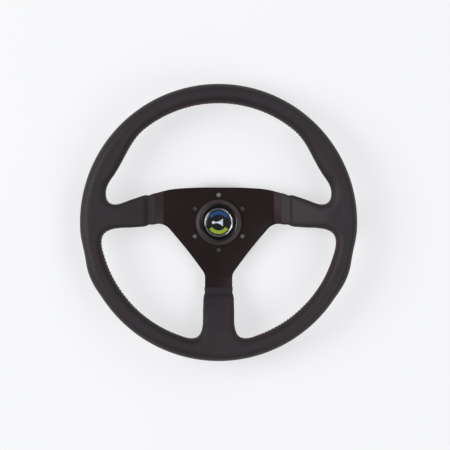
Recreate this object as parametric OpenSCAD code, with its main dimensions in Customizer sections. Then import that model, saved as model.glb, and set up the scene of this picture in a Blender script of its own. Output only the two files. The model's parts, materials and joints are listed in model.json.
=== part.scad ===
// Three-spoke sports steering wheel with leather rim, dished spokes and horn button
// The origin is the centre of the bolt circle on the plate's rear face, and +Z points at the driver

/* [Rim] */
// Outside diameter of the rim
wheel_d = 350; // [330:1:380]
// Width of the rim seen from the front
rim_width = 24.6; // [23:0.2:28]
// Depth of the rim from front to back
rim_depth = 28; // [26:0.5:32]
// Height of the rim's front above the mounting face
dish = 39; // [35:0.5:48]

/* [Grips] */
// Angle of each thumb grip's crest above the horizontal
thumb_angle = 29.5; // [27:0.5:34]
// How far each thumb grip stands inside the rim
thumb_rise = 6.8; // [0:0.1:8]
// Angle of each palm swell's crest below the horizontal
palm_angle = 24; // [20:0.5:30]
// How far each palm swell stands outside the rim
palm_rise = 1.5; // [0:0.1:3]
// Depth of the hollow between the palm swell and the horizontal
palm_hollow = 1.2; // [0:0.1:2]

/* [Leather and foam] */
// Thickness of the leather
leather_t = 1.2; // [0.8:0.1:1.6]
// Thickness of the skived leather that lies on the bare spoke
flap_t = 0.8; // [0.5:0.1:1]
// Distance from the centre to the leather's edge on the left and right spokes
side_cuff = 79.5; // [78:0.5:86]
// Distance from the centre to the leather's edge on the bottom spoke
bottom_cuff = 81.5; // [78:0.5:86]
// Distance from the centre to the step where the padding starts
pad_start = 91; // [89:0.5:96]
// Depth of the padding at that step, leather included
pad_depth = 12; // [11:0.5:14]
// Gap left for glue between leather, foam and what the foam holds
glue_gap = 0.15; // [0.1:0.05:0.3]

/* [Spoke plate] */
// Thickness of the plate
plate_t = 4; // [3:0.25:4.5]
// Distance from the centre to the bend of each spoke
bend_start = 70; // [66:1:74]
// Inside radius of the bends
bend_r = 12; // [8:1:16]
// Height of the plate's top edge above the centre
hub_top = 44.6; // [43:0.2:48]
// Half of the bottom spoke's width
bottom_half = 17.4; // [16:0.2:18]
// Diameter of the circle through the bolt holes
bolt_circle_d = 70; // [68:0.5:74]
// Diameter of each bolt hole
bolt_hole_d = 5.3; // [4.5:0.1:5.8]
// Diameter of the bore that holds the horn button
bore_d = 52; // [52:0.2:54]
// Edge break round each bolt hole
hole_break = 0.4; // [0.1:0.1:0.6]

/* [Core ring] */
// Width of the flat ring inside the rim
ring_w = 12; // [11:0.5:13]
// Thickness of the flat ring inside the rim
ring_t = 4; // [3:0.25:5]
// Diameter of the rivets that hold each spoke to the ring
rivet_d = 4; // [3:0.2:4.6]
// Distance between the two rivets of a spoke
rivet_pitch = 10; // [9:0.5:12]

/* [Horn button] */
// Outside diameter of the ring round the button
collar_d = 58.6; // [57:0.2:62]
// Height of that ring above the plate
collar_h = 4.8; // [4.4:0.1:6]
// Diameter of the button's cap
cap_d = 42.4; // [41.8:0.1:42.6]
// Diameter of the badge
badge_d = 36.8; // [35:0.2:38]
// Rise of the clear dome over the badge
dome_rise = 2.2; // [1:0.1:3]
// Travel of the button
travel = 1.5; // [0.8:0.1:1.5]
// Depth of the button's cup behind the mounting face
cup_depth = 16.5; // [16.2:0.1:20]
// Wire diameter of the return spring
wire_d = 0.8; // [0.5:0.1:1]
// Mean radius of the return spring
coil_r = 5.2; // [4.6:0.1:5.4]
// Number of turns of the return spring
coil_turns = 6; // [4:1:7]

/* [Hidden] */

// Play between pieces that slide, screw or snap together
play = 0.2;
// Play between a rivet or screw and its hole
pin_play = 0.05;
// Finest turn between neighbouring points of a rounded corner, in degrees
arc_step = 4;
// Number of sections round the rim, and of points round each section
rim_sections = 60;
section_points = 14;
// Number of steps along a web between padding and rim, and of steps round its profile
web_steps = 6;
web_rows = 6;

// Middle of the rim's section
rim_r = (wheel_d - rim_width) / 2;
rim_z = dish - rim_depth / 2;

// Flat spoke tips lie under the core ring and meet it in the rim's middle plane
tip_reach = 22.7;
tip_z = rim_z - plate_t;
tip_start = rim_r - tip_reach;
tip_end = rim_r + ring_w / 2 - 2.7;
bend_angle = atan(tip_z / (tip_start - bend_start));
rivet_r = rim_r - 1.2;
rivet_head_h = 1.4;

// Where the padding's edges leave their straight lines and curve into the rim, how square they
// are there, and how far the webs in the corners lie inside padding and rim at both ends
root_reach = 37.7;
root_start = rim_r - root_reach;
edge_round = 0.5;
web_sink = 0.1;

// Radii of spring, badge, cap, bore and collar, and how far each lies beyond the badge at least.
// Where two sizes leave less than that between them, both give way by half of what is missing.
// The spring lies beside the badge and the cap, so it meets only the bore and the collar
button_sizes = [coil_r, badge_d / 2, cap_d / 2, bore_d / 2, collar_d / 2];
button_rooms = [-14.8, 0, 1.2, 6, 8.5];
button_edges = button_sizes - button_rooms;
function meet(a, b) = a == b || min(a, b) > 0 || max(a, b) > 2;
function button_radius(i) =
    let (
        pushed_out = max([for (k = [0 : i]) if (meet(i, k)) button_edges[k]]),
        pushed_in = min([for (k = [i : len(button_edges) - 1]) if (meet(i, k)) button_edges[k]])
    )
    button_rooms[i] + (pushed_out + pushed_in) / 2;
spring_r = button_radius(0);
badge_r = button_radius(1);
cap_r = button_radius(2);
bore_r = button_radius(3);
collar_r = button_radius(4);

// Heights in the horn button, from the collar down to the base
collar_top = plate_t + collar_h;
collar_ledge = collar_top - 1.8;
collar_lip_r = cap_r + 0.3;
sleeve_r = bore_r - play;
cup_r = bore_r - 1.8;
cup_in_r = cup_r - 1.2;
bore_break = 1.5;
lip_under = collar_ledge - 1.4;
cap_top = collar_top + 0.6;
cap_floor = cap_top - 1.4;
cap_under = cap_floor - 2.2;
flange_top = lip_under - 0.15;
flange_t = 1.4;
sheet_t = 0.6;
stake_h = 0.5;
stake_r = 1.5;
brim_top = cap_under - 9.5;
base_top = brim_top - 2 * sheet_t - travel - 0.1;
base_t = 2.5;
base_bottom = base_top - base_t;
seat_top = base_top + sheet_t;
boss_angles = [30, 150, 270];
boss_r = cup_in_r - 2;
boss_half = 2.3;
boss_h = 5;

// Contact ring and brim inside the bosses, and the staked posts inside the ring
contact_r = boss_r - boss_half - 0.4;
contact_w = 2.2;
post_angles = [0, 120, 240];
post_r = contact_r - contact_w - stake_r - 1;
post_half = 1.8;
hat_r = post_r - post_half - 0.3;
terminal_t = 0.8;
terminal_w = 6.3;
ring_rivet_x = -(hat_r - sheet_t - 2.1);
contact_rivet_d = 2.4;
screw_d = 2;

// Small helpers for points and lists
function xy(p) = [p[0], p[1]];
function unit(v) = v / norm(v);
function reversed(list) = [for (i = [len(list) - 1 : -1 : 0]) list[i]];
function mirrored(corners) = [for (c = reversed(corners)) [-c[0], c[1], c[2]]];
function mix(a, b, t) = a + (b - a) * t;
function clamp(t) = min(1, max(0, t));

// Bell curve that is 1 at 0 and falls to 0 at a distance of 1
function bell(t) = abs(t) < 1 ? pow(cos(90 * t), 2) : 0;

// Closed outline through corners given as [x, y, radius], each arc limited by its shorter side
function rounded(corners) = [
    for (i = [0 : len(corners) - 1])
        let (
            count = len(corners),
            corner = xy(corners[i]),
            before = unit(xy(corners[(i + count - 1) % count]) - corner),
            after = unit(xy(corners[(i + 1) % count]) - corner),
            half = acos(before * after) / 2,
            room = min(
                norm(xy(corners[(i + count - 1) % count]) - corner),
                norm(xy(corners[(i + 1) % count]) - corner)
            ),
            r = min(corners[i][2], 0.49 * room * tan(half)),
            sweep = 180 - 2 * half,
            centre = corner + unit(before + after) * r / sin(half),
            start = corner + before * r / tan(half) - centre,
            end = corner + after * r / tan(half) - centre,
            steps = r == 0 ? 0 : max(2, ceil(sweep / arc_step))
        )
        for (k = [0 : steps])
            steps == 0 ? corner :
            centre + (start * sin(sweep * (1 - k / steps)) + end * sin(sweep * k / steps)) / sin(sweep)
];

// Outline of the flat plate, right half from the bottom spoke's tip up to the top edge
plate_half = [
    [bottom_half - 3.4, -tip_end, 3],
    [bottom_half - 1.8, -pad_start + 1, 8],
    [bottom_half, -pad_start + 7, 8],
    [bottom_half, -65.6, 15],
    [40, -34.6, 400],
    [68.3, -1.6, 18],
    [tip_end, -4, 2],
    [tip_end, 9, 2],
    [tip_start - 5, 14.5, 40],
    [68, hub_top - 2.2, 115],
    [28, hub_top, 400]
];

module plate_outline() {
    polygon(rounded(concat(plate_half, mirrored(plate_half))));
}

// Half of the line at height h above the plate's underside, from the bend to the spoke's tip
function bend_line(h) =
    let (shift = h * tan(bend_angle / 2))
    [
        [bend_start - shift, h, bend_r + plate_t - h],
        [tip_start - shift, tip_z + h, bend_r + h],
        [tip_end + 5, tip_z + h, 0]
    ];

// Sheet that is flat in the middle, rises to both sides and ends flat, between two heights
module bent_sheet(low, high) {
    rotate([90, 0, 0])
        linear_extrude(height = wheel_d, center = true)
            polygon(rounded(concat(
                mirrored(bend_line(low)), bend_line(low),
                reversed(bend_line(high)), reversed(mirrored(bend_line(high)))
            )));
}

// Straight-sided block with the plate's outline, grown by a margin
module plate_block(margin) {
    linear_extrude(height = 2 * dish, center = true) {
        if (margin > 0) {
            offset(delta = margin) plate_outline();
        } else {
            plate_outline();
        }
    }
}

// The bent plate without holes, grown by a margin on its faces and edges
module bent_plate(margin = 0) {
    split_y = -63;
    shared = 2;
    intersection() {
        plate_block(margin);
        bent_sheet(-margin, plate_t + margin);
        translate([-wheel_d, split_y - shared, -dish])
            cube([2 * wheel_d, wheel_d, 2 * dish]);
    }
    intersection() {
        plate_block(margin);
        rotate([0, 0, 90])
            bent_sheet(-margin, plate_t + margin);
        translate([-wheel_d, split_y - wheel_d, -dish])
            cube([2 * wheel_d, wheel_d, 2 * dish]);
    }
}

module at_bolts() {
    for (i = [0 : 5])
        rotate([0, 0, 60 * i + 30])
            translate([bolt_circle_d / 2, 0, 0])
                children();
}

// Places its children in the frame of one spoke, with x outwards and y across it
module at_spoke(name) {
    if (name == "right") children();
    if (name == "left") mirror([1, 0, 0]) children();
    if (name == "bottom") rotate([0, 0, -90]) children();
}

module at_rivets(name) {
    middle = name == "bottom" ? 0 : 2.5;
    at_spoke(name)
        for (side = [-1, 1])
            translate([rivet_r, middle + side * rivet_pitch / 2, 0])
                children();
}

// Rivet through tip and ring, or the room for one in the foam with fewer sides
module rivet_form(margin = 0, sides = 24) {
    high = rim_z + ring_t;
    spread = 1 / cos(180 / sides);
    head = (rivet_d * 0.9 + margin) * spread;
    translate([0, 0, tip_z - rivet_head_h / 2])
        cylinder(h = high - tip_z + rivet_head_h, r = rivet_d / 2 + margin, $fn = sides);
    translate([0, 0, tip_z - rivet_head_h - margin])
        cylinder(h = rivet_head_h + margin, r1 = head * 0.65, r2 = head, $fn = sides);
    translate([0, 0, high])
        cylinder(h = rivet_head_h + margin, r1 = head, r2 = head * 0.65, $fn = sides);
}

// The flat ring, or the room for it in the foam, wide enough for its flat sides to clear the ring
module ring_form(margin = 0) {
    sides = 60;
    inner = rim_r - ring_w / 2 - margin;
    outer = (rim_r + ring_w / 2 + margin) / (margin > 0 ? cos(180 / sides) : 1);
    rotate_extrude($fn = sides)
        translate([inner, rim_z - margin])
            square([outer - inner, ring_t + 2 * margin]);
}

// Angle above the horizontal, alike on both halves of the rim
function lift(angle) = angle < 90 ? angle : angle > 270 ? angle - 360 : 180 - angle;

// Reach of the rim's section from its middle to its inner side, with the thumb grips
function inner_half(angle) =
    let (span = lift(angle) > thumb_angle ? 22 : 20)
    rim_width / 2 + thumb_rise * bell((lift(angle) - thumb_angle) / span);

// Section of the rim at an angle, made smaller all round by an inset
function rim_section(angle, inset) =
    let (
        palm = bell((lift(angle) + palm_angle) / 11),
        hollow = bell((lift(angle) + palm_angle - 12) / 9),
        inner = inner_half(angle) - inset,
        outer = rim_width / 2 + palm_rise * palm - palm_hollow * hollow - inset,
        deep = rim_depth / 2 - inset
    )
    [
        for (k = [0 : section_points - 1])
            let (
                turn = 360 * k / section_points,
                reach = rim_r + cos(turn) * (cos(turn) > 0 ? outer : inner)
            )
            [reach * cos(angle), reach * sin(angle), rim_z + deep * sin(turn)]
    ];

// Slope of a straight edge of a spoke's padding, and its distance from the spoke's middle line
function edge_slope(name, side) = name == "bottom" ? 0.03 : side > 0 ? -0.35 : 0.07;
function pad_edge(name, side, d) =
    (name == "bottom" ? bottom_half + 1.9 : side > 0 ? hub_top - 8.6 : 5.2)
    + edge_slope(name, side) * (d - pad_start);

// How far the padding at a distance from the centre has grown from its start to the rim
function growth(d) = pow(clamp((d - pad_start) / (rim_r - 3 - pad_start)), 1.25);

// Height of the padding's middle, and half of its depth
function pad_mid(d) =
    mix(
        min(plate_t / 2 + (d - bend_start) * tan(bend_angle), rim_z - plate_t / 2),
        rim_z,
        growth(d)
    );
function pad_deep(d) = mix(pad_depth / 2, rim_depth / 2 - 0.2, growth(d));

// Power of a rounded sine or cosine, with its sign
function rounded_power(value, power) = sign(value) * pow(abs(value), power);

// Section of a spoke's padding at a distance from the centre, rounder and narrower in the rim
function pad_section(name, d, inset) =
    let (
        rooted = clamp((d - root_start) / (rim_r - 18 - root_start)),
        high = pad_edge(name, 1, d) - inset - 2 * rooted,
        low = -pad_edge(name, -1, d) + inset + 2 * rooted,
        before = clamp((d - pad_start) / (root_start - pad_start)),
        square_y = mix(0.4, edge_round, before) + 0.3 * rooted
    )
    [
        for (k = [0 : section_points - 1])
            let (turn = 360 * k / section_points)
            [
                d,
                (high + low) / 2 + (high - low) / 2 * rounded_power(cos(turn), square_y),
                pad_mid(d) + (pad_deep(d) - inset) * rounded_power(sin(turn), 0.75)
            ]
    ];

// Point on the rim's inner side, seen from a spoke, and on the curve that leads there
function rim_inner(name, turn) =
    (rim_r - inner_half(name == "bottom" ? 270 + turn : turn)) * [cos(turn), sin(turn)];
function bezier(c, t) =
    pow(1 - t, 3) * c[0] + 3 * pow(1 - t, 2) * t * c[1] + 3 * (1 - t) * t * t * c[2] + pow(t, 3) * c[3];

// Curve from the straight edge of a spoke's padding to the rim's inner side
function root_curve(name, side) =
    let (
        turn = side * (name == "bottom" ? 16 : side > 0 ? 20 : 14.5),
        start = [root_start, side * pad_edge(name, side, root_start)],
        end = rim_inner(name, turn),
        chord = norm(end - start)
    )
    [
        start,
        start + 0.65 * chord * unit([1, side * edge_slope(name, side)]),
        end - 0.52 * chord * unit(end - rim_inner(name, turn - side)),
        end
    ];

// Section of the web between padding and rim, at a place from 0 to 1 along its curve
function web_section(name, side, t, inset) =
    let (
        curve = root_curve(name, side),
        along = unit(bezier(curve, t + 0.01) - bezier(curve, t - 0.01)),
        inward = side * [along[1], -along[0]],
        half_start = (pad_edge(name, 1, root_start) + pad_edge(name, -1, root_start)) / 2,
        half = mix(half_start, rim_r - norm(curve[3]), t) - inset,
        bow = sin(180 * t),
        rows = concat(
            [
                for (k = [0 : web_rows])
                    let (turn = side * (180 * k / web_rows - 90))
                    [
                        half * (1 - pow(max(0, cos(turn)), mix(edge_round, 1, t))),
                        rounded_power(sin(turn), mix(0.75, 1, t))
                    ]
            ],
            [for (end = [1, -1]) [half + 0.5 + 5 * bow, side * end * (0.6 + 0.25 * bow)]]
        )
    )
    [
        for (row = rows)
            let (
                at = bezier(curve, t) + inward * (inset + web_sink + row[0]),
                deep = mix(pad_deep(at[0]), rim_depth / 2, t) - inset - web_sink
            )
            [at[0], at[1], mix(pad_mid(at[0]), rim_z, t) + deep * row[1]]
    ];

// Closed skin over a row of sections, from two on, with flat ends
module loft(sections) {
    count = len(sections[0]);
    last = len(sections) - 1;
    walls = [
        for (i = [0 : last - 1])
            for (k = [0 : count - 1])
                let (
                    a = i * count + k,
                    b = i * count + (k + 1) % count,
                    c = a + count,
                    d = b + count
                )
                each [[a, c, b], [b, c, d]]
    ];
    first_end = [for (k = [0 : count - 1]) k];
    last_end = [for (k = [count - 1 : -1 : 0]) last * count + k];
    polyhedron(
        points = [for (section = sections) each section],
        faces = concat(walls, [first_end, last_end]),
        convexity = 10
    );
}

// The closed tube of the rim, through its sections
module rim_tube(inset) {
    step = 360 / rim_sections;
    sections = [for (i = [0 : rim_sections - 1]) rim_section(i * step, inset)];
    count = section_points;
    faces = [
        for (i = [0 : rim_sections - 1])
            for (k = [0 : count - 1])
                let (
                    next = (i + 1) % rim_sections * count,
                    a = i * count + k,
                    b = i * count + (k + 1) % count,
                    c = next + k,
                    d = next + (k + 1) % count
                )
                each [[a, b, c], [b, d, c]]
    ];
    polyhedron(points = [for (section = sections) each section], faces = faces, convexity = 10);
}

// The moulded form of rim, grips and spoke pads, made smaller all round by an inset
module padded_form(inset = 0) {
    stations = concat(
        [pad_start + inset],
        [for (k = [1 : 6]) mix(pad_start, rim_r - 3, k / 6)]
    );
    rim_tube(inset);
    for (name = ["left", "right", "bottom"])
        at_spoke(name) {
            for (i = [0 : len(stations) - 2])
                hull()
                    loft([for (d = [stations[i], stations[i + 1]]) pad_section(name, d, inset)]);
            for (side = [-1, 1])
                loft([for (i = [0 : web_steps]) web_section(name, side, i / web_steps, inset)]);
        }
}

// Skived leather that lies round the bare spoke between its edge and the padding
module cuff_flaps() {
    reach = pad_start + leather_t;
    intersection() {
        bent_plate(flap_t + glue_gap);
        union() {
            for (name = ["left", "right"])
                at_spoke(name)
                    translate([side_cuff, -wheel_d / 2, -dish])
                        cube([reach - side_cuff, wheel_d, 3 * dish]);
            at_spoke("bottom")
                translate([bottom_cuff, -wheel_d / 2, -dish])
                    cube([reach - bottom_cuff, wheel_d, 3 * dish]);
        }
    }
}

module spoke_plate() {
    color([0.13, 0.12, 0.12])
        difference() {
            bent_plate();
            translate([0, 0, -1])
                cylinder(h = plate_t + 2, r = bore_r, $fn = 96);
            translate([0, 0, -1])
                cylinder(h = bore_break + 1, r1 = bore_r + bore_break + 1, r2 = bore_r, $fn = 96);
            at_bolts() {
                translate([0, 0, -1])
                    cylinder(h = plate_t + 2, d = bolt_hole_d, $fn = 32);
                translate([0, 0, plate_t - hole_break])
                    cylinder(
                        h = 2 * hole_break,
                        d1 = bolt_hole_d,
                        d2 = bolt_hole_d + 4 * hole_break,
                        $fn = 32
                    );
            }
            for (name = ["left", "right", "bottom"])
                at_rivets(name)
                    translate([0, 0, tip_z - 1])
                        cylinder(h = plate_t + 2, r = rivet_d / 2 + pin_play, $fn = 24);
        }
}

module core_ring() {
    color([0.7, 0.7, 0.72])
        difference() {
            ring_form();
            for (name = ["left", "right", "bottom"])
                at_rivets(name)
                    translate([0, 0, rim_z - 1])
                        cylinder(h = ring_t + 2, r = rivet_d / 2 + pin_play, $fn = 24);
        }
}

module spoke_rivets(name) {
    color([0.75, 0.75, 0.77])
        at_rivets(name)
            rivet_form();
}

module rim_foam() {
    color([0.25, 0.25, 0.24])
        difference() {
            padded_form(leather_t + glue_gap);
            bent_plate(glue_gap);
            ring_form(glue_gap);
            for (name = ["left", "right", "bottom"])
                at_rivets(name)
                    rivet_form(glue_gap, 12);
        }
}

module leather_cover() {
    color([0.17, 0.16, 0.17])
        difference() {
            union() {
                padded_form();
                cuff_flaps();
            }
            padded_form(leather_t);
            bent_plate(glue_gap);
        }
}

// Ring round the button, with a sleeve of snap fingers through the plate's bore
module horn_collar() {
    finger_end = -8;
    color([0.2, 0.2, 0.2])
        difference() {
            rotate_extrude($fn = 96)
                polygon(rounded([
                    [collar_r, plate_t, 0],
                    [collar_r - 0.4, plate_t + collar_h / 2, 1.6],
                    [cap_r + 4.2, collar_top, 4],
                    [collar_lip_r, collar_top, 0.8],
                    [collar_lip_r, collar_ledge, 0],
                    [cup_r + play, collar_ledge, 0],
                    [cup_r + play, -6.4, 0],
                    [cup_r - 0.4, -6.8, 0],
                    [cup_r - 0.4, -7.4, 0],
                    [cup_r + play, finger_end, 0],
                    [sleeve_r, finger_end, 0],
                    [sleeve_r, 0, 0],
                    [bore_r + bore_break - 1.1, 0.9, 0],
                    [bore_r + bore_break - 1.1, 1, 0],
                    [sleeve_r, bore_break + 0.1, 0],
                    [sleeve_r, plate_t, 0]
                ]));
            for (i = [0 : 5])
                rotate([0, 0, 60 * i])
                    translate([cup_r - 1, -1, finger_end - 1])
                        cube([5, 2, plate_t - finger_end]);
        }
}

// Cup that guides the cap, with a lip in front and three bosses for the base
module button_housing() {
    color([0.1, 0.1, 0.1])
        difference() {
            union() {
                rotate_extrude($fn = 96)
                    polygon([
                        [cup_r, collar_ledge],
                        [collar_lip_r, collar_ledge],
                        [collar_lip_r, lip_under],
                        [cup_in_r, lip_under],
                        [cup_in_r, -cup_depth],
                        [cup_r, -cup_depth],
                        [cup_r, -8],
                        [cup_r - 0.6, -7.6],
                        [cup_r - 0.6, -6.6],
                        [cup_r, -6.2]
                    ]);
                for (angle = boss_angles)
                    rotate([0, 0, angle])
                        translate([boss_r, 0, base_top])
                            cylinder(h = boss_h, r = boss_half, $fn = 32);
            }
            for (angle = boss_angles)
                rotate([0, 0, angle])
                    translate([boss_r, 0, base_top - 1])
                        cylinder(h = boss_h, r = screw_d / 2 + pin_play, $fn = 24);
        }
}

// Cap with a recess for the badge, a flange under the cup's lip and three staked posts
module button_cap() {
    color([0.04, 0.04, 0.045]) {
        rotate_extrude($fn = 96)
            polygon(concat(
                [[0, cap_under], [cap_r - 1.6, cap_under]],
                [[cap_r - 1.6, flange_top - flange_t], [cup_in_r - 0.3, flange_top - flange_t]],
                [[cup_in_r - 0.3, flange_top], [cap_r, flange_top]],
                [for (k = [0 : 6]) [cap_r - 1 + cos(15 * k), cap_top - 1 + sin(15 * k)]],
                [[badge_r + 0.5, cap_top], [badge_r + play, cap_top - 0.3]],
                [[badge_r + play, cap_floor], [0, cap_floor]]
            ));
        for (angle = post_angles)
            rotate([0, 0, angle])
                translate([post_r, 0, brim_top]) {
                    cylinder(h = cap_under - brim_top + 1, r = post_half, $fn = 32);
                    translate([0, 0, -sheet_t - stake_h])
                        cylinder(h = sheet_t + stake_h + 1, r = stake_r - 0.6, $fn = 24);
                    translate([0, 0, -sheet_t - stake_h])
                        cylinder(h = stake_h, r = stake_r, $fn = 24);
                }
    }
}

// Printed metal disc with a turned-up edge
module badge_disc() {
    edge_r = badge_r;
    color([0.1, 0.3, 0.7])
        rotate_extrude($fn = 96)
            polygon([
                [0, cap_floor],
                [edge_r, cap_floor],
                [edge_r, cap_floor + 1.1],
                [edge_r - 0.4, cap_floor + 1.1],
                [edge_r - 0.6, cap_floor + 0.5],
                [0, cap_floor + 0.5]
            ]);
}

// Clear dome cast on the disc
module badge_dome() {
    edge_r = badge_r - 0.6;
    low = cap_floor + 0.5;
    ball_r = (edge_r * edge_r + dome_rise * dome_rise) / (2 * dome_rise);
    reach = asin(edge_r / ball_r);
    color([0.8, 0.85, 0.9])
        rotate_extrude($fn = 96)
            polygon(concat(
                [[0, low]],
                [
                    for (k = [12 : -1 : 0])
                        let (tilt = reach * k / 12)
                        [ball_r * sin(tilt), low + dome_rise - ball_r * (1 - cos(tilt))]
                ]
            ));
}

// Brass hat under the cap: its crown takes the spring, and its brim meets the contact ring
module moving_contact() {
    crown = cap_under;
    color([0.8, 0.65, 0.3])
        difference() {
            rotate_extrude($fn = 64)
                polygon([
                    [0, crown],
                    [0, crown - sheet_t],
                    [hat_r - sheet_t - 2, crown - sheet_t],
                    [hat_r - sheet_t, brim_top - sheet_t],
                    [contact_r, brim_top - sheet_t],
                    [contact_r, brim_top],
                    [hat_r, brim_top],
                    [hat_r - 2, crown]
                ]);
            for (angle = post_angles)
                rotate([0, 0, angle])
                    translate([post_r, 0, brim_top - 2 * sheet_t])
                        cylinder(h = 3 * sheet_t, r = stake_r - 0.6 + pin_play, $fn = 24);
        }
}

// Height of the spring's wire at a turn, flat for the first and last 0.6 turn
function coil_z(turn) =
    let (
        low = seat_top + wire_d / 2 + pin_play,
        high = cap_under - sheet_t - wire_d / 2 - pin_play
    )
    mix(low, high, clamp((turn - 0.6) / (coil_turns - 1.2)));

module return_spring() {
    steps = 14;
    sides = 6;
    last = steps * coil_turns;
    points = [
        for (i = [0 : last])
            let (angle = 360 * i / steps, z = coil_z(i / steps))
            for (k = [0 : sides - 1])
                let (turn = 360 * k / sides, r = spring_r + wire_d / 2 * cos(turn))
                [r * cos(angle), r * sin(angle), z + wire_d / 2 * sin(turn)]
    ];
    walls = [
        for (i = [0 : last - 1])
            for (k = [0 : sides - 1])
                let (a = i * sides + k, b = i * sides + (k + 1) % sides)
                [a, a + sides, b + sides, b]
    ];
    ends = [
        [for (k = [0 : sides - 1]) k],
        [for (k = [sides - 1 : -1 : 0]) last * sides + k]
    ];
    color([0.7, 0.7, 0.72])
        polyhedron(points = points, faces = concat(walls, ends), convexity = 10);
}

module spring_seat() {
    color([0.8, 0.65, 0.3])
        translate([0, 0, base_top])
            difference() {
                cylinder(h = sheet_t, r = spring_r + 1.2, $fn = 48);
                translate([0, 0, -1])
                    cylinder(h = sheet_t + 2, r = contact_rivet_d / 2 + pin_play, $fn = 24);
            }
}

// Brass ring with a tab that runs in to its rivet
module fixed_contact() {
    ring_in = contact_r - contact_w;
    tab_half = 1.9;
    color([0.8, 0.65, 0.3])
        translate([0, 0, base_top])
            difference() {
                union() {
                    difference() {
                        cylinder(h = sheet_t, r = contact_r, $fn = 64);
                        translate([0, 0, -1])
                            cylinder(h = sheet_t + 2, r = ring_in, $fn = 64);
                    }
                    translate([-ring_in - 1, -tab_half, 0])
                        cube([ring_in + 1 + ring_rivet_x, 2 * tab_half, sheet_t]);
                    translate([ring_rivet_x, 0, 0])
                        cylinder(h = sheet_t, r = tab_half, $fn = 32);
                }
                translate([ring_rivet_x, 0, -1])
                    cylinder(h = sheet_t + 2, r = contact_rivet_d / 2 + pin_play, $fn = 24);
            }
}

// Insulating disc that closes the cup
module contact_base() {
    color([0.45, 0.25, 0.12])
        difference() {
            translate([0, 0, base_bottom])
                cylinder(h = base_t, r = cup_in_r - play, $fn = 96);
            for (x = [0, ring_rivet_x])
                translate([x, 0, base_bottom - 1])
                    cylinder(h = base_t + 2, r = contact_rivet_d / 2 + pin_play, $fn = 24);
            for (angle = boss_angles)
                rotate([0, 0, angle])
                    translate([boss_r, 0, base_bottom - 1])
                        cylinder(h = base_t + 2, r = screw_d / 2 + pin_play, $fn = 24);
        }
}

module contact_rivets() {
    low = base_bottom - terminal_t;
    head_h = 0.5;
    color([0.85, 0.75, 0.45])
        for (x = [0, ring_rivet_x])
            translate([x, 0, 0]) {
                translate([0, 0, low])
                    cylinder(h = seat_top - low, d = contact_rivet_d, $fn = 24);
                translate([0, 0, seat_top])
                    cylinder(h = head_h, r1 = 1.6, r2 = 1.2, $fn = 24);
                translate([0, 0, low - head_h])
                    cylinder(h = head_h, r1 = 1.4, r2 = 1.9, $fn = 24);
            }
}

// Spade terminal with its foot on the base and its blade to the rear, bent at a distance from the rivet
module terminal(blade_x) {
    blade_end = -cup_depth + 0.7;
    foot_z = base_bottom - terminal_t;
    half = terminal_w / 2;
    difference() {
        union() {
            translate([0, 0, foot_z])
                cylinder(h = terminal_t, r = half, $fn = 32);
            translate([0, -half, foot_z])
                cube([blade_x, terminal_w, terminal_t]);
            translate([blade_x, 0, 0])
                rotate([0, -90, 0])
                    linear_extrude(height = terminal_t)
                        polygon([
                            [blade_end, -half + 1],
                            [blade_end + 1, -half],
                            [base_bottom, -half],
                            [base_bottom, half],
                            [blade_end + 1, half],
                            [blade_end, half - 1]
                        ]);
        }
        translate([0, 0, foot_z - 1])
            cylinder(h = terminal_t + 2, r = contact_rivet_d / 2 + pin_play, $fn = 24);
        translate([blade_x + 1, 0, (blade_end + foot_z) / 2])
            rotate([0, -90, 0])
                cylinder(h = terminal_t + 2, r = 0.8, $fn = 24);
    }
}

module spring_terminal() {
    color([0.82, 0.82, 0.8])
        terminal(6.2);
}

module ring_terminal() {
    color([0.82, 0.82, 0.8])
        translate([ring_rivet_x, 0, 0])
            mirror([1, 0, 0])
                terminal(6.2);
}

module base_screws() {
    head_r = 1.8;
    head_h = 1.3;
    color([0.75, 0.75, 0.78])
        for (angle = boss_angles)
            rotate([0, 0, angle])
                translate([boss_r, 0, 0])
                    difference() {
                        union() {
                            translate([0, 0, base_bottom])
                                cylinder(h = base_t + 3.5, d = screw_d, $fn = 24);
                            translate([0, 0, base_bottom - head_h])
                                cylinder(h = head_h, r1 = head_r - 0.4, r2 = head_r, $fn = 32);
                        }
                        translate([-head_r - 1, -0.25, base_bottom - head_h - 1])
                            cube([2 * head_r + 2, 0.5, 1.5]);
                    }
}

spoke_plate();
core_ring();
spoke_rivets("left");  // left_spoke_rivets
spoke_rivets("right");  // right_spoke_rivets
spoke_rivets("bottom");  // bottom_spoke_rivets
rim_foam();
leather_cover();
horn_collar();
button_housing();
button_cap();
badge_disc();
badge_dome();
moving_contact();
return_spring();
spring_seat();
fixed_contact();
contact_base();
contact_rivets();
spring_terminal();
ring_terminal();
base_screws();
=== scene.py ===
"""Leather-wrapped three-spoke car steering wheel with a horn button, lying face up on a pale table."""
import json
import math

import bmesh
import bpy
import numpy as np
from mathutils import Matrix, Vector, kdtree


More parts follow.
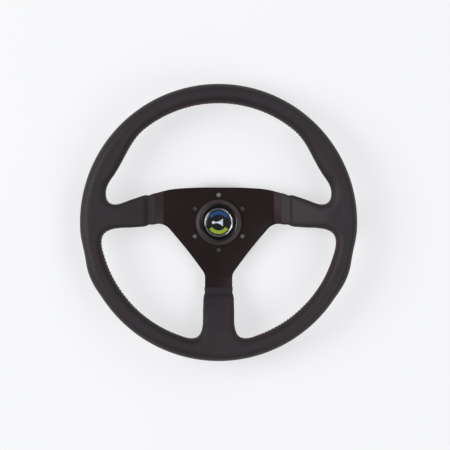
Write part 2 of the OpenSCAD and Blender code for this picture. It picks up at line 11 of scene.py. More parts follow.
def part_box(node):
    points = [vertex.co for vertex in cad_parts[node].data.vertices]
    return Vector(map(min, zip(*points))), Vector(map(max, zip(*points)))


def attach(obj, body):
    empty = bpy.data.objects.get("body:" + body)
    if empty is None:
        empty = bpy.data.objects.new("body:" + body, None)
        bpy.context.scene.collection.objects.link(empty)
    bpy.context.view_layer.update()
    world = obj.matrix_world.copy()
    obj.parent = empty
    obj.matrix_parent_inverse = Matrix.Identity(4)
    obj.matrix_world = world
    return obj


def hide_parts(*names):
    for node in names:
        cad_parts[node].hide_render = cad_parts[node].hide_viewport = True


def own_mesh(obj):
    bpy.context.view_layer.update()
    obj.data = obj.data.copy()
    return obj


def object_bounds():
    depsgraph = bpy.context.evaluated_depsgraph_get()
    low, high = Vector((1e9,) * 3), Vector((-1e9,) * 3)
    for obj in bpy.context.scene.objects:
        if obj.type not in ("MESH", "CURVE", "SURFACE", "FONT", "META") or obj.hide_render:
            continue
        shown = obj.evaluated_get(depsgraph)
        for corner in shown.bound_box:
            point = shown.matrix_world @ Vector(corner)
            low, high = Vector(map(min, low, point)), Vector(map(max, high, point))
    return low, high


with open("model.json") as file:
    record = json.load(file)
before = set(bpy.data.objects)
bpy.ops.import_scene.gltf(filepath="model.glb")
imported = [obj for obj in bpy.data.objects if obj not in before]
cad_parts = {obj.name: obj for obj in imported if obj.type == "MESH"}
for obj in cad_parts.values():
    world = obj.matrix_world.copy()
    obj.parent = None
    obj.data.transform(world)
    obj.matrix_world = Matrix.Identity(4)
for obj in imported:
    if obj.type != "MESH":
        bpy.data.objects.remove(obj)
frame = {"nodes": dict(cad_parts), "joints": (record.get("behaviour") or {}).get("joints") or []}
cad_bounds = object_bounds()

MM = 0.001
NODES = frame["nodes"]

# Sizes in millimetres, as on the real wheel
leather_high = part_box("leather_cover")[1]
WHEEL_R = leather_high[0] / MM
RIM_TOP = leather_high[2] / MM
RIM_WIDTH = 24.6
RIM_DEPTH = 28.0
RIM_R = WHEEL_R - RIM_WIDTH / 2
RIM_Z = RIM_TOP - RIM_DEPTH / 2
PLATE_T = 4.0
BEND_START = 70.0
BEND_END = RIM_R - 22.7
BEND_SLOPE = (RIM_Z - PLATE_T) / (BEND_END - BEND_START)
BOLT_R = 35.0
CAP_R = 21.2
BEVEL_R = 24.3

# Grips: angles above and below the horizontal, and how far they rise from the rim or sink into it
THUMB_ANGLE = 29.5
THUMB_RISE = 6.8
THUMB_SPAN_UP = 22.0
THUMB_SPAN_DOWN = 20.0
PALM_ANGLE = 24.0
PALM_RISE = 1.5
PALM_SPAN = 11.0
HOLLOW_ANGLE = PALM_ANGLE - 12.0
HOLLOW_DEPTH = 1.2
HOLLOW_SPAN = 9.0

# Padding of the spokes, by the distance from the wheel's middle
SPOKES = ("right", "left", "bottom")
PAD_START = 91.0
PAD_END = RIM_R - 3
PAD_DEPTH = 12.0
GROWTH_POWER = 1.25
SHOULDER = 6.0
SHOULDER_LOW = 0.6
ROOT_START = RIM_R - 37.7
ROOT_END = RIM_R - 18
ROOT_INSET = 2.0
EDGE_ROUND = 0.5
FLAT_ROUND = 0.75
CUFF_START = {"right": 79.5, "left": 79.5, "bottom": 81.5}
FLAP = 0.7
FLAP_SPREAD = {"right": 0.4, "left": 0.4, "bottom": 1.1}

# Each straight edge of the padding: how far it lies from its spoke's middle line where the
# padding starts, its slope outwards, and the angle round the wheel at which its web meets the rim
PAD_EDGES = {
    "bottom": (19.3, 0.03, 16.0),
    "upper": (36.0, -0.35, 20.0),
    "lower": (5.2, 0.07, 14.5),
}

# Seam and stitches
STITCH_PITCH = 4.4
STITCH_WIDTH = 5.2
THREAD_R = 0.36
STITCH_RISE = 0.26
STITCH_SLANT = 0.45
SEAM_STEP = 0.5
SEAM_REACH = 12.0

# Angles round the wheel, and how many degrees of the rim's section the seam lies above its
# innermost line there
SEAM_RUNS = (
    ((20, -30), (42, -22), (56, 11), (132, 11), (144, -24), (160, -30)),
    ((194, 5), (214, 3), (226, -24), (254, -28)),
    ((286, 19), (294, 5), (302, 1), (312, 1), (320, 12), (345, 24)),
)


def mix(a, b, t):
    return a + (b - a) * t


def clamp(t):
    return np.clip(t, 0.0, 1.0)


def bell(t):
    """Smooth hump of height 1 between -1 and 1."""
    return np.where(np.abs(t) < 1, np.cos(np.pi / 2 * np.clip(t, -1, 1)) ** 2, 0.0)


def lift(angle):
    """Angle above the horizontal in degrees, alike on both halves of the rim."""
    angle = np.mod(angle, 360.0)
    return np.where(angle < 90, angle, np.where(angle > 270, angle - 360, 180 - angle))


def inner_half(angle):
    """Reach of the rim's section from its middle to its inner side."""
    up = lift(angle)
    span = np.where(up > THUMB_ANGLE, THUMB_SPAN_UP, THUMB_SPAN_DOWN)
    return RIM_WIDTH / 2 + THUMB_RISE * bell((up - THUMB_ANGLE) / span)


def outer_half(angle):
    """Reach of the rim's section from its middle to its outer side."""
    up = lift(angle)
    palm = bell((up + PALM_ANGLE) / PALM_SPAN)
    hollow = bell((up + HOLLOW_ANGLE) / HOLLOW_SPAN)
    return RIM_WIDTH / 2 + PALM_RISE * palm - HOLLOW_DEPTH * hollow


# Mesh helpers
def in_scene(name, data):
    """New object in the scene."""
    piece = bpy.data.objects.new(name, data)
    bpy.context.scene.collection.objects.link(piece)
    return piece


def mesh_object(name, points, faces, smooth=True):
    """Object from points in millimetres."""
    mesh = bpy.data.meshes.new(name)
    mesh.from_pydata([tuple(float(c) * MM for c in p) for p in points], [], faces)
    mesh.validate()
    form = bmesh.new()
    form.from_mesh(mesh)
    bmesh.ops.recalc_face_normals(form, faces=form.faces)
    form.to_mesh(mesh)
    form.free()
    if smooth:
        mesh.shade_smooth()
    return in_scene(name, mesh)


def turned(name, profile):
    """Round solid from the radius and height of each point of its closed profile."""
    sides = 144
    points, rows = [], []
    for r, z in profile:
        start, steps = len(points), sides if r > 0 else 1
        for k in range(steps):
            turn = 2 * math.pi * k / steps
            points.append((r * math.cos(turn), r * math.sin(turn), z))
        rows.append([start + k % steps for k in range(sides)])
    faces = []
    for row, after in zip(rows, rows[1:] + rows[:1]):
        for k in range(sides):
            m = (k + 1) % sides
            corners = tuple(dict.fromkeys((row[k], after[k], after[m], row[m])))
            if len(corners) > 2:
                faces.append(corners)
    return mesh_object(name, points, faces, smooth=False)


def loft(rings, closed=False):
    """Points and faces of a skin over rings of equally many points, with flat ends if open."""
    count, sides = len(rings), len(rings[0])
    points = [p for ring in rings for p in ring]
    faces = []
    for i in range(count if closed else count - 1):
        j = (i + 1) % count
        for k in range(sides):
            m = (k + 1) % sides
            faces.append((i * sides + k, j * sides + k, j * sides + m, i * sides + m))
    if not closed:
        faces.append(tuple(range(sides)))
        faces.append(tuple((count - 1) * sides + k for k in reversed(range(sides))))
    return points, faces


def joined(parts):
    """One set of points and faces from several."""
    points, faces = [], []
    for more, skin in parts:
        start = len(points)
        points.extend(more)
        faces.extend(tuple(start + k for k in face) for face in skin)
    return points, faces


def flattened(piece, name):
    """The piece with its modifiers applied, as a plain mesh object at the origin."""
    graph = bpy.context.evaluated_depsgraph_get()
    mesh = bpy.data.meshes.new_from_object(piece.evaluated_get(graph))
    mesh.name = name
    bpy.data.objects.remove(piece)
    return in_scene(name, mesh)


def merged_copy(node, name):
    """Copy of a CAD node with its loose triangles joined and its flat faces whole."""
    form = bmesh.new()
    form.from_mesh(NODES[node].data)
    bmesh.ops.remove_doubles(form, verts=form.verts, dist=2e-6)
    bmesh.ops.dissolve_limit(
        form, angle_limit=math.radians(0.4), verts=form.verts, edges=form.edges
    )
    mesh = bpy.data.meshes.new(name)
    form.to_mesh(mesh)
    form.free()
    return in_scene(name, mesh)


def smooth_by_angle(piece, degrees):
    """Smooth shading with sharp edges where faces meet at more than an angle."""
    mesh = piece.data
    mesh.shade_smooth()
    form = bmesh.new()
    form.from_mesh(mesh)
    limit = math.radians(degrees)
    for edge in form.edges:
        edge.smooth = len(edge.link_faces) == 2 and edge.calc_face_angle(0) < limit
    form.to_mesh(mesh)
    form.free()


# Form of the leather: rim, thumb grips, spoke pads and the webs between them
def spoke_place(name, point):
    """A point in a spoke's own frame, x outwards, moved to its place on the wheel."""
    x, y, z = point
    if name == "left":
        return (-x, y, z)
    if name == "bottom":
        return (y, -x, z)
    return (x, y, z)


def edge_facts(name, side):
    return PAD_EDGES["bottom" if name == "bottom" else "upper" if side > 0 else "lower"]


def pad_edge(name, side, d):
    """Distance of a straight edge of a spoke's padding from the spoke's middle line."""
    start, slope, _ = edge_facts(name, side)
    return start + slope * (d - PAD_START)


def growth(d):
    """0 where the padding starts and 1 where it has the rim's depth."""
    return clamp((d - PAD_START) / (PAD_END - PAD_START)) ** GROWTH_POWER


def pad_mid(d):
    """Height of the padding's middle, which follows the bent plate up to the rim."""
    plate = np.minimum(PLATE_T / 2 + (d - BEND_START) * BEND_SLOPE, RIM_Z - PLATE_T / 2)
    return mix(plate, RIM_Z, growth(d))


def pad_deep(d):
    """Half the padding's depth."""
    return mix(PAD_DEPTH / 2, RIM_DEPTH / 2 - 0.2, growth(d))


def rounded_power(value, power):
    """A power that keeps the sign, to turn an ellipse into a rounded box."""
    return math.copysign(abs(value) ** power, value)


def rim_ring(angle, sides):
    """Section of the rim at an angle round the wheel."""
    inner, outer = float(inner_half(angle)), float(outer_half(angle))
    a = math.radians(angle)
    ring = []
    for k in range(sides):
        turn = 2 * math.pi * k / sides
        reach = RIM_R + math.cos(turn) * (outer if math.cos(turn) > 0 else inner)
        height = RIM_Z + RIM_DEPTH / 2 * math.sin(turn)
        ring.append((reach * math.cos(a), reach * math.sin(a), height))
    return ring


def pad_ring(name, d, sides):
    """Section of a spoke's padding, with a round shoulder where it starts."""
    from_start = float(clamp((d - PAD_START) / SHOULDER))
    shoulder = mix(SHOULDER_LOW, 1, math.sqrt(1 - (1 - from_start) ** 2))
    rooted = float(clamp((d - ROOT_START) / (ROOT_END - ROOT_START)))
    high = pad_edge(name, 1, d) - ROOT_INSET * rooted
    low = -pad_edge(name, -1, d) + ROOT_INSET * rooted
    before = float(clamp((d - PAD_START) / (ROOT_START - PAD_START)))
    square = mix(0.4, EDGE_ROUND, before) + 0.3 * rooted
    ring = []
    for k in range(sides):
        turn = 2 * math.pi * k / sides
        across = (high + low) / 2 + (high - low) / 2 * rounded_power(math.cos(turn), square)
        height = pad_mid(d) + shoulder * pad_deep(d) * rounded_power(math.sin(turn), FLAT_ROUND)
        ring.append(spoke_place(name, (d, across, float(height))))
    return ring


def rim_inner(name, turn):
    """The rim's innermost line at an angle from a spoke, in the spoke's own frame."""
    angle = 270 + turn if name == "bottom" else turn
    reach = RIM_R - float(inner_half(angle))
    a = math.radians(turn)
    return reach * np.array([math.cos(a), math.sin(a)])


def bezier(c, t):
    """Point of a curve with four control points."""
    return (
        (1 - t) ** 3 * c[0]
        + 3 * (1 - t) ** 2 * t * c[1]
        + 3 * (1 - t) * t * t * c[2]
        + t**3 * c[3]
    )


def root_curve(name, side):
    """Control points of the curve from a padding's straight edge to the rim's inner side."""
    _, slope, root_turn = edge_facts(name, side)
    turn = side * root_turn
    start = np.array([ROOT_START, side * pad_edge(name, side, ROOT_START)])
    end = rim_inner(name, turn)
    pull_out, pull_along = 0.65, 0.52
    chord = np.linalg.norm(end - start)
    out = np.array([1.0, side * slope])
    along = end - rim_inner(name, turn - side)
    return [
        start,
        start + pull_out * chord * out / np.linalg.norm(out),
        end - pull_along * chord * along / np.linalg.norm(along),
        end,
    ]


def web_frame(name, side, t):
    """Point on a web's curve with the direction into the leather and along the curve."""
    curve = root_curve(name, side)
    along = bezier(curve, t + 0.01) - bezier(curve, t - 0.01)
    along /= np.linalg.norm(along)
    inward = side * np.array([along[1], -along[0]])
    half_start = (pad_edge(name, 1, ROOT_START) + pad_edge(name, -1, ROOT_START)) / 2
    half = mix(half_start, RIM_R - np.linalg.norm(curve[3]), t)
    return bezier(curve, t), inward, along, half


def web_point(name, side, t, turn):
    """Point on a web's surface at an angle of its profile, in the spoke's own frame."""
    place, inward, along, half = web_frame(name, side, t)
    reach = half * (1 - max(0.0, math.cos(turn)) ** mix(EDGE_ROUND, 1, t))
    at = place + inward * (0.05 + reach)
    deep = mix(float(pad_deep(at[0])), RIM_DEPTH / 2, t)
    rise = rounded_power(math.sin(turn), mix(FLAT_ROUND, 1, t))
    return (at[0], at[1], mix(float(pad_mid(at[0])), RIM_Z, t) + deep * rise)


def web_ring(name, side, t, steps):
    """Section of a web: its round edge, closed by a flat back inside the leather."""
    ring = [
        web_point(name, side, t, math.pi * (k / steps - 0.5)) for k in range(steps + 1)
    ]
    place, inward, along, half = web_frame(name, side, t)
    bow = math.sin(math.pi * t)
    at = place + inward * (half + 0.5 + 5 * bow)
    deep = mix(float(pad_deep(at[0])), RIM_DEPTH / 2, t) * (0.6 + 0.25 * bow)
    middle = mix(float(pad_mid(at[0])), RIM_Z, t)
    ring += [(at[0], at[1], middle + deep), (at[0], at[1], middle - deep)]
    return [spoke_place(name, p) for p in ring]


def plate_span(name, d):
    """Lowest and highest place of the spoke plate across a spoke, at a distance out."""
    form = bmesh.new()
    form.from_mesh(NODES["spoke_plate"].data)
    out = {"right": (1, 0, 0), "left": (-1, 0, 0), "bottom": (0, -1, 0)}[name]
    cut = bmesh.ops.bisect_plane(
        form,
        geom=form.verts[:] + form.edges[:] + form.faces[:],
        plane_co=Vector(out) * d * MM,
        plane_no=out,
    )
    across = [
        (v.co.x if name == "bottom" else v.co.y) / MM
        for v in cut["geom_cut"]
        if isinstance(v, bmesh.types.BMVert)
    ]
    form.free()
    return min(across), max(across)


def flap_ring(name, d, grow, sides):
    """Section of the thin leather that lies on the bare metal before the padding."""
    low, high = plate_span(name, d)
    middle, half = (low + high) / 2, (high - low) / 2 + grow
    tall = (PLATE_T / math.cos(math.atan(BEND_SLOPE))) / 2 + grow
    height = PLATE_T / 2 + (d - BEND_START) * BEND_SLOPE - 0.25
    ring = []
    for k in range(sides):
        turn = 2 * math.pi * (k + 0.5) / sides
        across = middle + half * rounded_power(math.cos(turn), 0.12)
        rise = tall * rounded_power(math.sin(turn), 0.3)
        ring.append(spoke_place(name, (d, across, height + rise)))
    return ring


def leather_form():
    """Rough closed form of all leather, from overlapping solids."""
    around, sides, flap_sides = 300, 48, 32
    parts = [loft([rim_ring(360 * i / around, sides) for i in range(around)], closed=True)]
    for name in SPOKES:
        shoulder = PAD_START + np.array([0, 0.3, 0.8, 1.5, 2.5, 4])
        stations = np.concatenate([shoulder, np.linspace(PAD_START + SHOULDER, PAD_END, 24)])
        rings = [pad_ring(name, float(d), sides) for d in stations]
        centre = np.mean(rings[0], axis=0)
        rings[0] = [tuple(mix(centre, np.array(p), 0.96)) for p in rings[0]]
        parts.append(loft(rings))
        for side in (-1, 1):
            places = np.linspace(0, 1, 28)
            parts.append(loft([web_ring(name, side, t, sides // 2) for t in places]))
        cuff = CUFF_START[name]
        places = [cuff, cuff + 0.5, *np.linspace(cuff + 3, PAD_START + 2, 4)]
        share = [clamp((d - cuff) / (PAD_START - cuff)) for d in places]
        growing = [FLAP + FLAP_SPREAD[name] * s for s in share]
        growing[0] -= FLAP / 2
        flap = [flap_ring(name, d, grow, flap_sides) for d, grow in zip(places, growing)]
        parts.append(loft(flap))
    return mesh_object("leather_rough", *joined(parts))


def near_roots(points):
    """1 where a padding turns into the rim, less where it starts and 0 elsewhere, with soft ends."""
    inner, outer = 112.0, 172.0
    result = np.zeros(len(points))
    for name in SPOKES:
        if name == "bottom":
            out = -points[:, 1]
            across = np.abs(points[:, 0])
            reach = 50.0
        else:
            out = points[:, 0] * (1 if name == "right" else -1)
            across = np.abs(points[:, 1] - 8)
            reach = 52.0
        sideways = clamp((reach - across) / 10)
        root = clamp((out - inner) / 10) * clamp((outer - np.hypot(out, across)) / 8)
        step = clamp(1.4 - np.abs(out - PAD_START) / 4)
        result = np.maximum(result, root * sideways)
        result = np.maximum(result, 0.35 * (step * sideways))
    return result


def relaxed(mesh, rounds, weight):
    """Moves each point towards the middle of its neighbours, as far as its weight says."""
    count = len(mesh.vertices)
    points = np.empty(count * 3)
    mesh.vertices.foreach_get("co", points)
    points = points.reshape(-1, 3)
    edges = np.empty(len(mesh.edges) * 2, dtype=np.int64)
    mesh.edges.foreach_get("vertices", edges)
    a, b = edges[0::2], edges[1::2]
    degree = np.bincount(a, minlength=count) + np.bincount(b, minlength=count)
    for _ in range(rounds):
        middle = np.empty_like(points)
        for axis in range(3):
            total = np.bincount(a, points[b, axis], count) + np.bincount(b, points[a, axis], count)
            middle[:, axis] = total / degree
        points += weight[:, None] * (middle - points)
    mesh.vertices.foreach_set("co", points.ravel())
    mesh.update()


# The seam along the inner side, and its stitches
def seam_height(angle):
    """How far the seam lies above the rim's innermost line, in radians of its section."""
    spread = 5
    run = next(r for r in SEAM_RUNS if r[0][0] - 1 <= angle <= r[-1][0] + 1)
    near = np.linspace(angle - spread, angle + spread, 2 * spread + 1)
    return math.radians(np.interp(near, *zip(*run)).mean())


def rim_seam_point(angle):
    """The seam's place on the rim at an angle round the wheel."""
    turn = math.pi - seam_height(angle)
    inner = float(inner_half(angle))
    a = math.radians(angle)
    reach = RIM_R + math.cos(turn) * inner
    return (
        reach * math.cos(a),
        reach * math.sin(a),
        RIM_Z + RIM_DEPTH / 2 * math.sin(turn),
    )


def web_seam(name, side, angle):
    """The seam's run over a web, from the rim to the start of the spoke's straight edge."""
    return [
        spoke_place(name, web_point(name, side, t, seam_height(angle)))
        for t in np.linspace(0.97, 0.16, 50)
    ]


def seam_paths():
    """The three runs of the seam, one in each window of the wheel."""
    upper = (
        web_seam("right", 1, 20)[::-1]
        + [rim_seam_point(a) for a in np.linspace(20.6, 159.4, 700)]
        + web_seam("left", 1, 160)
    )
    lower_left = (
        web_seam("left", -1, 194)[::-1]
        + [rim_seam_point(a) for a in np.linspace(195.1, 253.4, 300)]
        + web_seam("bottom", -1, 254)
    )
    lower_right = (
        web_seam("bottom", 1, 286)[::-1]
        + [rim_seam_point(a) for a in np.linspace(286.6, 344.9, 300)]
        + web_seam("right", -1, 345)
    )
    return [np.array(path) for path in (upper, lower_left, lower_right)]


def resampled(path, step):
    """Points at even distances along a path."""
    length = np.concatenate([[0], np.cumsum(np.linalg.norm(np.diff(path, axis=0), axis=1))])
    count = int(length[-1] / step)
    places = np.linspace(0, length[-1], count + 1)
    return np.stack([np.interp(places, length, path[:, k]) for k in range(3)], axis=1)


def smooth_directions(path):
    """Direction of a path at each of its points."""
    along = np.gradient(path, axis=0)
    return along / np.linalg.norm(along, axis=1)[:, None]


def mark_seam(piece, paths):
    """Stores on the leather how far each point lies across and along the seam, in millimetres."""
    fine = [resampled(p, SEAM_STEP) for p in paths]
    points = np.concatenate(fine)
    along = np.concatenate([smooth_directions(p) for p in fine])
    run = np.concatenate([np.arange(len(p)) * SEAM_STEP for p in fine])
    tree = kdtree.KDTree(len(points))
    for i, p in enumerate(points):
        tree.insert(p, i)
    tree.balance()
    across, place = [], []
    for vertex, normal in zip(piece.data.vertices, piece.data.vertex_normals):
        co = np.array(vertex.co) / MM
        _, i, distance = tree.find(co)
        beyond = abs(np.dot(co - points[i], along[i])) > 2 * SEAM_STEP
        sideways = np.cross(np.array(normal.vector), along[i])
        offset = float(np.dot(co - points[i], sideways))
        across.append(SEAM_REACH if beyond or distance > SEAM_REACH else offset)
        place.append(float(run[i]))
    for name, values in (("seam_across", across), ("seam_along", place)):
        layer = piece.data.attributes.new(name, "FLOAT", "POINT")
        layer.data.foreach_set("value", values)


def set_on_surface(points, piece):
    """Nearest places on a piece's surface, with the surface's directions outwards."""
    places, normals = [], []
    for p in points:
        _, at, normal, _ = piece.closest_point_on_mesh(Vector(p) * MM)
        places.append(np.array(at) / MM)
        normals.append(np.array(normal))
    return np.array(places), np.array(normals)


class Nodes:
    """A node tree under construction."""

    def node(self, kind, settings=None, inputs=None):
        """The one way to add a node: its type, its settings, then its inputs."""
        node = self.tree.nodes.new(kind)
        for name, value in (settings or {}).items():
            setattr(node, name, value)
        for name, value in (inputs or {}).items():
            if isinstance(value, Value):
                value = value.socket
            if isinstance(value, bpy.types.NodeSocket):
                self.tree.links.new(value, node.inputs[name])
            else:
                node.inputs[name].default_value = value
        return node


class Arrangement(Nodes):
    """A Geometry Nodes tree with named inputs."""

    def __init__(self, name):
        self.tree = bpy.data.node_groups.new(name, "GeometryNodeTree")
        self.tree.interface.new_socket("Geometry", in_out="INPUT", socket_type="NodeSocketGeometry")
        self.tree.interface.new_socket("Geometry", in_out="OUTPUT", socket_type="NodeSocketGeometry")
        self.inputs = {}
        self.start = self.tree.nodes.new("NodeGroupInput")
        self.end = self.tree.nodes.new("NodeGroupOutput")

    def named_input(self, name, kind):
        socket = self.tree.interface.new_socket(name, in_out="INPUT", socket_type=kind)
        self.inputs[name] = socket.identifier
        return self.start.outputs[name]


def stitch_tree():
    """Crossed threads set on points, turned by each point's directions along and outwards."""
    t = Arrangement("crossed_stitches")
    width = t.named_input("Stitch width", "NodeSocketFloat")
    slant = t.named_input("Slant", "NodeSocketFloat")
    thread = t.named_input("Thread radius", "NodeSocketFloat")
    rise = t.named_input("Rise", "NodeSocketFloat")
    seed = t.named_input("Seed", "NodeSocketInt")
    finish = t.named_input("Thread finish", "NodeSocketMaterial")

    def scaled(socket, factor):
        product = t.node("ShaderNodeMath", {"operation": "MULTIPLY"}, {0: socket, 1: factor})
        return product.outputs[0]

    def vector(x, y, z):
        return t.node("ShaderNodeCombineXYZ", inputs={"X": x, "Y": y, "Z": z}).outputs[0]

    sunk = scaled(rise, -2.0)
    bow = t.node(
        "GeometryNodeCurvePrimitiveBezierSegment",
        {"mode": "POSITION"},
        {
            "Resolution": 7,
            "Start": vector(0.0, scaled(width, -0.5), sunk),
            "Start Handle": vector(0.0, scaled(width, -0.34), scaled(rise, 1.6)),
            "End Handle": vector(0.0, scaled(width, 0.34), scaled(rise, 1.6)),
            "End": vector(0.0, scaled(width, 0.5), sunk),
        },
    )
    ring = t.node(
        "GeometryNodeCurvePrimitiveCircle", {"mode": "RADIUS"}, {"Resolution": 6, "Radius": thread}
    )
    strand = t.node(
        "GeometryNodeCurveToMesh",
        inputs={
            "Curve": bow.outputs["Curve"],
            "Profile Curve": ring.outputs["Curve"],
            "Fill Caps": True,
        },
    ).outputs["Mesh"]
    crossed = t.node("GeometryNodeJoinGeometry")
    for side in (-1, 1):
        turned = t.node(
            "GeometryNodeTransform",
            inputs={
                "Geometry": strand,
                "Rotation": vector(0.0, 0.0, scaled(slant, float(side))),
                "Translation": vector(0.0, 0.0, scaled(rise, 0.25 * (side + 1))),
            },
        )
        t.tree.links.new(turned.outputs[0], crossed.inputs[0])

    def stored(name):
        return t.node(
            "GeometryNodeInputNamedAttribute", {"data_type": "FLOAT_VECTOR"}, {"Name": name}
        ).outputs["Attribute"]

    upright = t.node(
        "FunctionNodeAlignRotationToVector", {"axis": "Z"}, {"Vector": stored("outwards")}
    )
    facing = t.node(
        "FunctionNodeAlignRotationToVector",
        {"axis": "X", "pivot_axis": "Z"},
        {"Rotation": upright.outputs[0], "Vector": stored("along")},
    )
    uneven = t.node(
        "FunctionNodeRandomValue", {"data_type": "FLOAT"}, {2: 0.92, 3: 1.06, "Seed": seed}
    ).outputs[1]
    points = t.node("GeometryNodeMeshToPoints", inputs={"Mesh": t.start.outputs["Geometry"]})
    placed = t.node(
        "GeometryNodeInstanceOnPoints",
        inputs={
            "Points": points.outputs[0],
            "Instance": crossed.outputs[0],
            "Rotation": facing.outputs[0],
            "Scale": uneven,
        },
    )
    real = t.node("GeometryNodeRealizeInstances", inputs={"Geometry": placed.outputs[0]})
    smooth = t.node("GeometryNodeSetShadeSmooth", inputs={"Geometry": real.outputs[0]})
    dressed = t.node(
        "GeometryNodeSetMaterial", inputs={"Geometry": smooth.outputs[0], "Material": finish}
    )
    t.tree.links.new(dressed.outputs[0], t.end.inputs[0])
    return t


def sewn_stitches(paths, leather, finish):
    """Red crossed stitches over the seam."""
    spots, along = [], []
    for path in paths:
        even = resampled(path, STITCH_PITCH)[1:-1]
        spots.append(even)
        along.append(smooth_directions(even))
    spots, along = np.concatenate(spots), np.concatenate(along)
    spots, outwards = set_on_surface(spots, leather)
    mesh = bpy.data.meshes.new("stitch_spots")
    mesh.from_pydata([tuple(p * MM) for p in spots], [], [])
    for name, values in (("along", along), ("outwards", outwards)):
        layer = mesh.attributes.new(name, "FLOAT_VECTOR", "POINT")
        layer.data.foreach_set("vector", values.ravel())
    piece = in_scene("stitch_spots", mesh)
    arrangement = stitch_tree()
    sewing = piece.modifiers.new("sewing", "NODES")
    sewing.node_group = arrangement.tree
    sizes = {
        "Stitch width": STITCH_WIDTH * MM,
        "Slant": STITCH_SLANT,
        "Thread radius": THREAD_R * MM,
        "Rise": STITCH_RISE * MM,
        "Seed": 7,
        "Thread finish": finish,
    }
    for name, value in sizes.items():
        sewing[arrangement.inputs[name]] = value
    return flattened(piece, "seam_stitches")


# Finishes
class Value:
    """A node's number that takes plain arithmetic, each step as one Math node."""

    def __init__(self, finish, socket):
        self.finish, self.socket = finish, socket

    def step(self, operation, *others):
        inputs = dict(enumerate([self, *others]))
        return self.finish.value("ShaderNodeMath", {"operation": operation}, inputs)

    def __add__(self, other):
        return self.step("ADD", other)

    __radd__ = __add__

    def __sub__(self, other):
        return self.step("SUBTRACT", other)

    def __rsub__(self, other):
        return self.finish.value("ShaderNodeMath", {"operation": "SUBTRACT"}, {0: other, 1: self})

    def __mul__(self, other):
        return self.step("MULTIPLY", other)

    def __pow__(self, other):
        return self.step("POWER", other)

    def __abs__(self):
        return self.step("ABSOLUTE")

    def most(self, other):
        return self.step("MAXIMUM", other)

    def wave(self):
        return self.step("SINE")

    def ramp(self, low, high):
        """0 below low, 1 above high, and smooth between; the other way round if low is higher."""
        return self.finish.value(
            "ShaderNodeMapRange",
            {"interpolation_type": "SMOOTHSTEP"},
            {"Value": self, "From Min": low, "From Max": high, "To Min": 0.0, "To Max": 1.0}
            if low < high
            else {"Value": self, "From Min": high, "From Max": low, "To Min": 1.0, "To Max": 0.0},
        )


class Finish(Nodes):
    """A material under construction."""

    def __init__(self, name):
        self.material = bpy.data.materials.new(name)
        self.material.use_nodes = True
        self.tree = self.material.node_tree
        self.tree.nodes.clear()
        self.output = self.tree.nodes.new("ShaderNodeOutputMaterial")

    def value(self, kind, settings=None, inputs=None, output=0):
        return Value(self, self.node(kind, settings, inputs).outputs[output])

    def place(self):
        """Object coordinates in metres."""
        return self.node("ShaderNodeTexCoord").outputs["Object"]

    def distance_from_axis(self):
        """How far a point lies from the wheel's turning axis, in metres."""
        flat = self.node(
            "ShaderNodeVectorMath", {"operation": "MULTIPLY"}, {0: self.place(), 1: (1, 1, 0)}
        )
        return self.value(
            "ShaderNodeVectorMath", {"operation": "LENGTH"}, {0: flat.outputs[0]}, "Value"
        )

    def noise(self, scale, detail=2.0, roughness=0.5, stretch=None):
        """Soft random pattern with so many spots in a metre."""
        where = self.place()
        if stretch:
            where = self.node(
                "ShaderNodeVectorMath", {"operation": "MULTIPLY"}, {0: where, 1: stretch}
            ).outputs[0]
        return self.value(
            "ShaderNodeTexNoise",
            inputs={"Vector": where, "Scale": scale, "Detail": detail, "Roughness": roughness},
        )

    def cells(self, scale, feature="F1"):
        """Pattern of small cells, so many in a metre."""
        return self.value(
            "ShaderNodeTexVoronoi", {"feature": feature}, {"Vector": self.place(), "Scale": scale}
        )

    def attribute(self, name):
        return self.value("ShaderNodeAttribute", {"attribute_name": name}, output="Fac")

    def blend(self, factor, a, b):
        """A colour from a to b by a factor."""
        a, b = (c if isinstance(c, bpy.types.NodeSocket) else (*c, 1.0) for c in (a, b))
        mixer = self.node("ShaderNodeMix", {"data_type": "RGBA"}, {0: factor, 6: a, 7: b})
        return mixer.outputs[2]

    def bump(self, height, distance):
        """Surface direction over a height, whose full range is a distance in metres."""
        bump = self.node(
            "ShaderNodeBump", inputs={"Height": height, "Distance": distance, "Strength": 1.0}
        )
        return bump.outputs[0]

    def ended(self, shader):
        """The finished material, whose surface is this shader."""
        self.tree.links.new(shader.outputs[0], self.output.inputs["Surface"])
        return self.material

    def surface(self, **inputs):
        """The finished material, with one Principled surface."""
        named = {name.replace("_", " "): value for name, value in inputs.items()}
        return self.ended(self.node("ShaderNodeBsdfPrincipled", inputs=named))


def smooth_black_leather():
    """Fine-grained leather that dips at the seam and puckers between its stitches."""
    f = Finish("smooth_black_leather")
    patches = f.noise(14, 3)
    fine = f.noise(700, 4, 0.6)
    grain = f.cells(820, "SMOOTH_F1")
    creases = f.noise(110, 3, 0.55, (1.0, 1.0, 0.6))
    across = abs(f.attribute("seam_across"))
    along = f.attribute("seam_along")
    seam = across.ramp(0.9, 0.15)
    pucker = across.ramp(5.0, 0.8) * (along * (2 * math.pi / STITCH_PITCH)).wave()
    height = (
        grain * 0.30
        + fine * 0.16
        + creases * 0.9
        - seam * 3.2
        + pucker * 0.35
    )
    tone = (patches * 0.75 + fine * 0.25).ramp(0.25, 0.75)
    colour = f.blend(tone, (0.0150, 0.0104, 0.0134), (0.0225, 0.0160, 0.0200))
    colour = f.blend(seam * 0.75, colour, (0.004, 0.003, 0.004))
    rough = 0.56 + (patches - 0.5) * 0.16 + (fine - 0.5) * 0.10
    return f.surface(
        Base_Color=colour,
        Roughness=rough,
        Specular_IOR_Level=0.33,
        Sheen_Weight=0.03,
        Sheen_Roughness=0.4,
        Normal=f.bump(height, 0.00022),
    )


